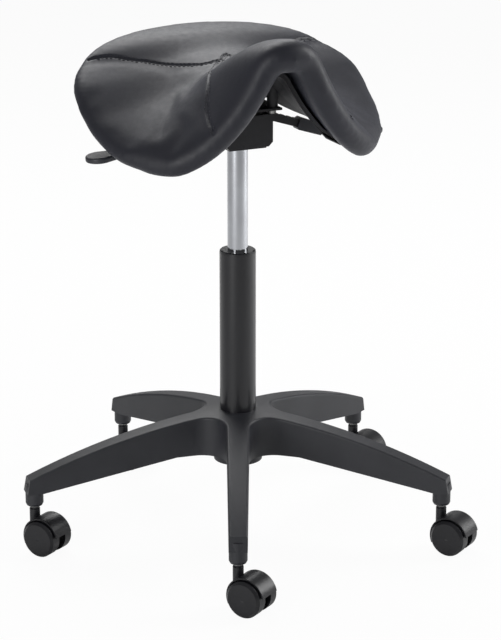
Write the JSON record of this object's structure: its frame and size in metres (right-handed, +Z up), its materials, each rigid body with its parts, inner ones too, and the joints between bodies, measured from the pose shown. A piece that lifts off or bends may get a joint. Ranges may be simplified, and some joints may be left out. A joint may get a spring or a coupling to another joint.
{
  "type": "saddle stool",
  "caption": "Height-adjustable saddle stool with a padded split-arch saddle seat, two hand levers, a gas lift column and a star base on twin-wheel castors.",
  "frame": {"origin": "on the column axis at floor level, midway among the castors", "axes": "+Z up along the column, -Y towards the seat's pommel (front), +X towards the tilt lever"},
  "size_m": [0.6106, 0.62, 0.721],
  "materials": {
    "base_nylon": "fine grained glass-filled nylon, satin",
    "zinc_steel": "bright zinc plate",
    "black_lacquer": "gloss black lacquer",
    "bush_plastic": "smooth acetal",
    "column_chrome": "polished",
    "bump_rubber": "matt",
    "housing_black": "satin black powder coat",
    "lever_black": "satin",
    "lever_grip": "soft satin, dark blue-grey",
    "shell_plastic": "moulded, satin",
    "cover_plastic": "grained, matt",
    "seat_leatherette": "soft grained synthetic leather, low sheen",
    "castor_black": "moulded nylon, semi gloss",
    "wheel_black": "moulded nylon, semi gloss"
  },
  "bodies": {
    "base": {"star_base": "base_nylon", "castor_sockets": "zinc_steel", "outer_tube": "black_lacquer", "guide_bush": "bush_plastic", "tube_end_plate": "zinc_steel", "lower_race": "zinc_steel"},
    "lift_rod": {"piston_rod": "column_chrome", "gas_piston": "zinc_steel", "upper_race": "zinc_steel", "roller_cage": "bush_plastic", "bump_stop": "bump_rubber", "retaining_clip": "zinc_steel"},
    "lift_head": {"gas_cylinder": "column_chrome", "rod_guide": "bush_plastic", "mechanism_housing": "housing_black", "pivot_pin": "zinc_steel", "height_lever_pin": "zinc_steel", "tilt_lever_pin": "zinc_steel"},
    "release": {"release_pin": "zinc_steel"},
    "height_lever": {"height_lever_arm": "lever_black", "height_lever_handle": "lever_grip"},
    "tilt_lever": {"tilt_lever_arm": "lever_black", "tilt_lever_handle": "lever_grip"},
    "seat": {"seat_plate": "housing_black", "seat_bolts": "zinc_steel", "threaded_inserts": "zinc_steel", "seat_shell": "shell_plastic", "underside_cover": "cover_plastic", "seat_cushion": "seat_leatherette"},
    "castor_1": {"hood_1": "castor_black", "stem_1": "zinc_steel", "axle_1": "zinc_steel"},
    "wheel_left_body_1": {"wheel_left_1": "wheel_black"},
    "wheel_right_body_1": {"wheel_right_1": "wheel_black"},
    "castor_2": {"hood_2": "castor_black", "stem_2": "zinc_steel", "axle_2": "zinc_steel"},
    "wheel_left_body_2": {"wheel_left_2": "wheel_black"},
    "wheel_right_body_2": {"wheel_right_2": "wheel_black"},
    "castor_3": {"hood_3": "castor_black", "stem_3": "zinc_steel", "axle_3": "zinc_steel"},
    "wheel_left_body_3": {"wheel_left_3": "wheel_black"},
    "wheel_right_body_3": {"wheel_right_3": "wheel_black"},
    "castor_4": {"hood_4": "castor_black", "stem_4": "zinc_steel", "axle_4": "zinc_steel"},
    "wheel_left_body_4": {"wheel_left_4": "wheel_black"},
    "wheel_right_body_4": {"wheel_right_4": "wheel_black"},
    "castor_5": {"hood_5": "castor_black", "stem_5": "zinc_steel", "axle_5": "zinc_steel"},
    "wheel_left_body_5": {"wheel_left_5": "wheel_black"},
    "wheel_right_body_5": {"wheel_right_5": "wheel_black"}
  },
  "joints": [
    {"name": "column_swivel", "type": "hinge", "parent": "base", "child": "lift_rod", "pos_m": [0, 0, 0.2], "axis": [0, 0, 1], "continuous": true},
    {"name": "seat_lift", "type": "slide", "parent": "lift_rod", "child": "lift_head", "axis": [0, 0, 1], "range_m": [-0.13, 0.07]},
    {"name": "release_press", "type": "slide", "parent": "lift_head", "child": "release", "axis": [0, 0, -1], "range_m": [0, 0.0017]},
    {"name": "height_lever_lift", "type": "hinge", "parent": "lift_head", "child": "height_lever", "pos_m": [-0.029, 0, 0.591], "axis": [0, 1, 0], "range_deg": [0, 3.2], "stiffness_Nm_per_rad": 0.8, "springref_deg": -11.46},
    {"name": "tilt_lever_lift", "type": "hinge", "parent": "lift_head", "child": "tilt_lever", "pos_m": [0.029, 0, 0.591], "axis": [0, -1, 0], "range_deg": [0, 3.2]},
    {"name": "seat_tilt", "type": "hinge", "parent": "lift_head", "child": "seat", "pos_m": [0, -0.022, 0.584], "axis": [1, 0, 0], "range_deg": [-6, 12]},
    {"name": "castor_swivel_1", "type": "hinge", "parent": "base", "child": "castor_1", "pos_m": [-0.12116, -0.2671, 0.06], "axis": [0, 0, 1], "continuous": true},
    {"name": "wheel_left_spin_1", "type": "hinge", "parent": "castor_1", "child": "wheel_left_body_1", "pos_m": [-0.10982, -0.28418, 0.025], "axis": [0.8329, 0.5534, 0], "continuous": true},
    {"name": "wheel_right_spin_1", "type": "hinge", "parent": "castor_1", "child": "wheel_right_body_1", "pos_m": [-0.10982, -0.28418, 0.025], "axis": [0.8329, 0.5534, 0], "continuous": true},
    {"name": "castor_swivel_2", "type": "hinge", "parent": "base", "child": "castor_2", "pos_m": [0.21659, -0.19777, 0.06], "axis": [0, 0, 1], "continuous": true},
    {"name": "wheel_left_spin_2", "type": "hinge", "parent": "castor_2", "child": "wheel_left_body_2", "pos_m": [0.22793, -0.21485, 0.025], "axis": [0.8329, 0.5534, 0], "continuous": true},
    {"name": "wheel_right_spin_2", "type": "hinge", "parent": "castor_2", "child": "wheel_right_body_2", "pos_m": [0.22793, -0.21485, 0.025], "axis": [0.8329, 0.5534, 0], "continuous": true},
    {"name": "castor_swivel_3", "type": "hinge", "parent": "base", "child": "castor_3", "pos_m": [0.25502, 0.14487, 0.06], "axis": [0, 0, 1], "continuous": true},
    {"name": "wheel_left_spin_3", "type": "hinge", "parent": "castor_3", "child": "wheel_left_body_3", "pos_m": [0.26637, 0.1278, 0.025], "axis": [0.8329, 0.5534, 0], "continuous": true},
    {"name": "wheel_right_spin_3", "type": "hinge", "parent": "castor_3", "child": "wheel_right_body_3", "pos_m": [0.26637, 0.1278, 0.025], "axis": [0.8329, 0.5534, 0], "continuous": true},
    {"name": "castor_swivel_4", "type": "hinge", "parent": "base", "child": "castor_4", "pos_m": [-0.05898, 0.28731, 0.06], "axis": [0, 0, 1], "continuous": true},
    {"name": "wheel_left_spin_4", "type": "hinge", "parent": "castor_4", "child": "wheel_left_body_4", "pos_m": [-0.04763, 0.27024, 0.025], "axis": [0.8329, 0.5534, 0], "continuous": true},
    {"name": "wheel_right_spin_4", "type": "hinge", "parent": "castor_4", "child": "wheel_right_body_4", "pos_m": [-0.04763, 0.27024, 0.025], "axis": [0.8329, 0.5534, 0], "continuous": true},
    {"name": "castor_swivel_5", "type": "hinge", "parent": "base", "child": "castor_5", "pos_m": [-0.29147, 0.03269, 0.06], "axis": [0, 0, 1], "continuous": true},
    {"name": "wheel_left_spin_5", "type": "hinge", "parent": "castor_5", "child": "wheel_left_body_5", "pos_m": [-0.28013, 0.01562, 0.025], "axis": [0.8329, 0.5534, 0], "continuous": true},
    {"name": "wheel_right_spin_5", "type": "hinge", "parent": "castor_5", "child": "wheel_right_body_5", "pos_m": [-0.28013, 0.01562, 0.025], "axis": [0.8329, 0.5534, 0], "continuous": true}
  ],
  "couplings": [
    {"joint": "release_press", "follows": "height_lever_lift", "m_per_rad": 0.029}
  ]
}
